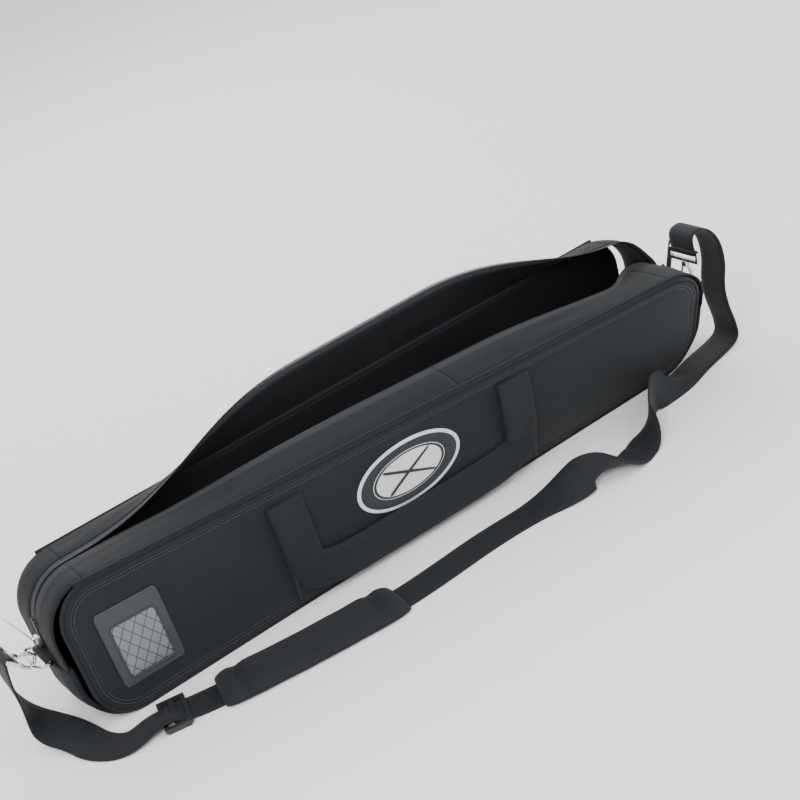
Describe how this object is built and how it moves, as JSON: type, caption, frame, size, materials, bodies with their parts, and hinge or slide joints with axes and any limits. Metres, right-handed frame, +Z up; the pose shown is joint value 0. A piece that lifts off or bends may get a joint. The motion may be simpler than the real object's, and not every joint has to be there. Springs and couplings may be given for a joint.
{
  "type": "padded carrying bag",
  "caption": "Long padded soft bag for drum stands, open at its zipped top, with side handles, a card window, and a padded shoulder strap clipped to an end ring.",
  "frame": {"origin": "centre of the flat underside, on the floor", "axes": "+X along the bag, towards the open-cornered end; -Y out of the side with the emblem and card window; +Z up"},
  "size_m": [1.1115, 0.3049, 0.2488],
  "materials": {
    "shell": "matt woven nylon, near black",
    "gusset": "matt woven nylon, near black",
    "lining": "smooth black lining",
    "foam": "closed-cell foam padding",
    "piping": "covered cord",
    "webbing": "ribbed nylon webbing",
    "pad": "padded sleeve, matt",
    "zip_tape": "woven tape",
    "zip_coil": "nylon coil",
    "zip_metal": "dark enamelled casting",
    "nickel": "nickel plated wire and casting",
    "buckle": "black moulded plastic",
    "board": "stiff sheet",
    "emblem": "woven oval patch",
    "vinyl": "soft vinyl",
    "window": "clear sheet over a patterned card"
  },
  "bodies": {
    "bag": {"back_foam": "foam", "back_handle_strips": "webbing", "back_lining": "lining", "back_piping": "piping", "back_shell": "shell", "base_board": "board", "bottom_foam": "foam", "bottom_gusset": "gusset", "bottom_lining": "lining", "emblem_patch": "emblem", "front_foam": "foam", "front_handle_strips": "webbing", "front_lining": "lining", "front_piping": "piping", "front_shell": "shell", "left_back_corner": "gusset", "left_d_ring": "nickel", "left_front_corner": "gusset", "left_hook": "nickel", "left_hook_eye": "nickel", "left_strap_drop": "webbing", "left_strap_fold": "webbing", "left_tab": "webbing", "left_zip_end_coils": "zip_coil", "left_zip_end_tapes": "zip_tape", "pad_sleeve": "webbing", "right_back_corner": "gusset", "right_d_ring": "nickel", "right_front_corner": "gusset", "right_hook": "nickel", "right_hook_eye": "nickel", "right_strap_drop": "webbing", "right_strap_fold": "webbing", "right_tab": "webbing", "right_zip_end_coils": "zip_coil", "right_zip_end_tapes": "zip_tape", "shoulder_pad": "pad", "shoulder_strap": "webbing", "triglide": "buckle", "window_frame": "vinyl", "window_pane": "window"},
    "front_lip_flap": {"front_lip": "shell", "front_lip_foam": "foam", "front_lip_lining": "lining", "front_zip_tape": "zip_tape", "front_zip_coil": "zip_coil"},
    "front_handle": {"front_handle_loop": "webbing"},
    "back_lip_flap": {"back_lip": "shell", "back_lip_foam": "foam", "back_lip_lining": "lining", "back_zip_tape": "zip_tape", "back_zip_coil": "zip_coil"},
    "back_handle": {"back_handle_loop": "webbing"},
    "left_slider": {"left_zip_slider": "zip_metal"},
    "left_pull": {"left_zip_pull": "zip_metal"},
    "left_gate": {"left_hook_gate": "nickel"},
    "right_slider": {"right_zip_slider": "zip_metal"},
    "right_pull": {"right_zip_pull": "zip_metal"},
    "right_gate": {"right_hook_gate": "nickel"}
  },
  "joints": [
    {"name": "front_lip_hinge", "type": "hinge", "parent": "bag", "child": "front_lip_flap", "pos_m": [0, -0.096, 0.178], "axis": [0.9945, -0.1032, -0.019], "range_deg": [-14, 90]},
    {"name": "back_lip_hinge", "type": "hinge", "parent": "bag", "child": "back_lip_flap", "pos_m": [0, 0.055, 0.187], "axis": [0.9995, -0.0318, -0.0021], "range_deg": [-25, 90]},
    {"name": "front_handle_swing", "type": "hinge", "parent": "bag", "child": "front_handle", "pos_m": [0, -0.10269, 0.156], "axis": [0.9954, -0.0957, 0], "range_deg": [-130, 0]},
    {"name": "back_handle_swing", "type": "hinge", "parent": "bag", "child": "back_handle", "pos_m": [0, 0.06607, 0.156], "axis": [0.9996, -0.0272, 0], "range_deg": [0, 130]},
    {"name": "left_slider_travel", "type": "slide", "parent": "bag", "child": "left_slider", "axis": [0, 0, 1], "range_m": [0, 0.018]},
    {"name": "left_pull_swing", "type": "hinge", "parent": "left_slider", "child": "left_pull", "pos_m": [-0.4977, 0.009, 0.114], "axis": [0, 1, 0], "range_deg": [-30, 18]},
    {"name": "left_gate_spring", "type": "hinge", "parent": "bag", "child": "left_gate", "pos_m": [-0.53095, -0.004, 0.11257], "axis": [0, -1, 0], "range_deg": [0, 20], "stiffness_Nm_per_rad": 0.02, "springref_deg": -11.46},
    {"name": "right_slider_travel", "type": "slide", "parent": "bag", "child": "right_slider", "axis": [0, 0, 1], "range_m": [0, 0.018]},
    {"name": "right_pull_swing", "type": "hinge", "parent": "right_slider", "child": "right_pull", "pos_m": [0.4977, -0.034, 0.114], "axis": [0, 1, 0], "range_deg": [-18, 40]},
    {"name": "right_gate_spring", "type": "hinge", "parent": "bag", "child": "right_gate", "pos_m": [0.50091, -0.072, 0.13708], "axis": [0, -1, 0], "range_deg": [0, 20], "stiffness_Nm_per_rad": 0.02, "springref_deg": -11.46}
  ]
}
